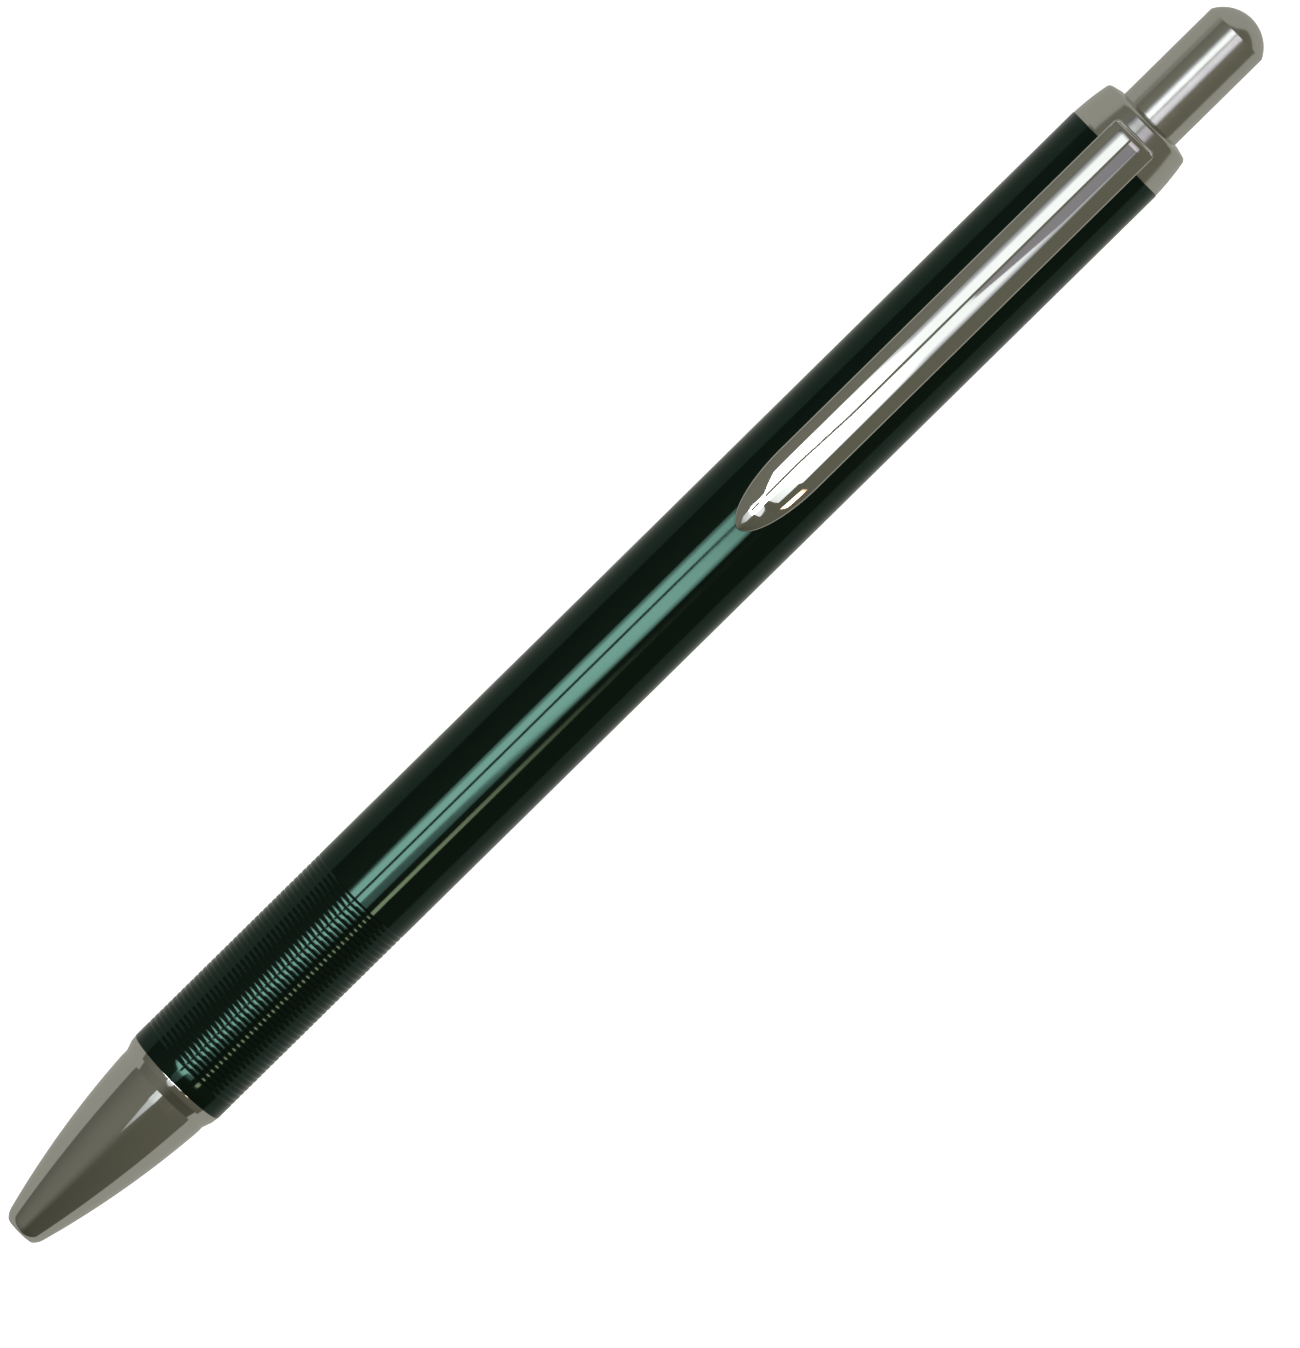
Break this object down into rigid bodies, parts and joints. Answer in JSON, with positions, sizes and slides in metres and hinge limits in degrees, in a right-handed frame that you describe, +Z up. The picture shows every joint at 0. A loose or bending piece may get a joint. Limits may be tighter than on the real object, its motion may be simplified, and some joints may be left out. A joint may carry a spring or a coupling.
{
  "type": "technical pen",
  "caption": "Retractable metal pen: lacquered barrel with a ringed grip, bright cone nose, spring clip and push button, with its refill and cam inside.",
  "frame": {"origin": "middle of the pen's length, on its plane of symmetry, at the lowest line of the barrel", "axes": "+X from the nose towards the push button, +Z up through the clip, +Y across"},
  "size_m": [0.1446, 0.0098, 0.0114],
  "materials": {
    "lacquer": "glossy dark green lacquer",
    "bright_metal": "polished nickel-chrome plating",
    "clip_steel": "polished plated spring steel",
    "inner_plastic": "moulded black",
    "white_plastic": "moulded natural acetal",
    "brass": "turned",
    "seal_rubber": "matt black",
    "spring_wire": "drawn bright wire",
    "refill_metal": "satin tube",
    "tip_metal": "turned nickel silver",
    "ball_metal": "ground hard ball",
    "refill_plastic": "moulded black",
    "ink_felt": "ink-soaked fibre"
  },
  "bodies": {
    "barrel_assembly": {"barrel": "lacquer", "rear_ring": "bright_metal", "button_guide": "brass", "cam_housing": "inner_plastic", "cam_guide_studs": "spring_wire", "clip_root": "clip_steel"},
    "clip_spring": {"clip_arm": "clip_steel"},
    "spring_carrier": {"spring_seat_washer": "brass", "return_spring": "spring_wire"},
    "nose": {"nose_cone": "bright_metal", "nose_seal_ring": "seal_rubber"},
    "button": {"button_cap": "bright_metal", "button_stem": "white_plastic"},
    "cam": {"cam_drum": "white_plastic"},
    "refill": {"writing_ball": "ball_metal", "refill_case": "refill_metal", "refill_front_plug": "refill_plastic", "refill_rear_plug": "refill_plastic", "tip_tube": "tip_metal", "tip_socket": "tip_metal", "ball_spring": "spring_wire", "ink_feed": "ink_felt", "ink_reservoir": "ink_felt"}
  },
  "joints": [
    {"name": "button_slide", "type": "slide", "parent": "barrel_assembly", "child": "button", "axis": [-1, 0, 0], "range_m": [0, 0.0055], "stiffness_N_per_m": 350, "springref_m": -0.004},
    {"name": "cam_turn", "type": "hinge", "parent": "button", "child": "cam", "pos_m": [0.04349, 0, 0.00492], "axis": [1, 0, 0], "range_deg": [0, 45]},
    {"name": "refill_slide", "type": "slide", "parent": "barrel_assembly", "child": "refill", "axis": [-1, 0, 0], "range_m": [0, 0.0055], "deforming": ["return_spring"]},
    {"name": "clip_flex", "type": "hinge", "parent": "barrel_assembly", "child": "clip_spring", "pos_m": [0.05634, 0, 0.01067], "axis": [0, 1, 0], "range_deg": [0, 3.5], "stiffness_Nm_per_rad": 4, "springref_deg": -1.72},
    {"name": "nose_withdraw", "type": "slide", "parent": "barrel_assembly", "child": "spring_carrier", "axis": [-1, 0, 0], "range_m": [0, 0.0045]},
    {"name": "nose_turn", "type": "hinge", "parent": "spring_carrier", "child": "nose", "pos_m": [-0.06291, 0, 0.00492], "axis": [1, 0, 0], "range_deg": [0, 2160]}
  ],
  "couplings": [
    {"joint": "cam_turn", "follows": "button_slide", "rad_per_m": 142.8},
    {"joint": "refill_slide", "follows": "button_slide", "ratio": 1},
    {"joint": "nose_turn", "follows": "nose_withdraw", "rad_per_m": 8377.6}
  ]
}
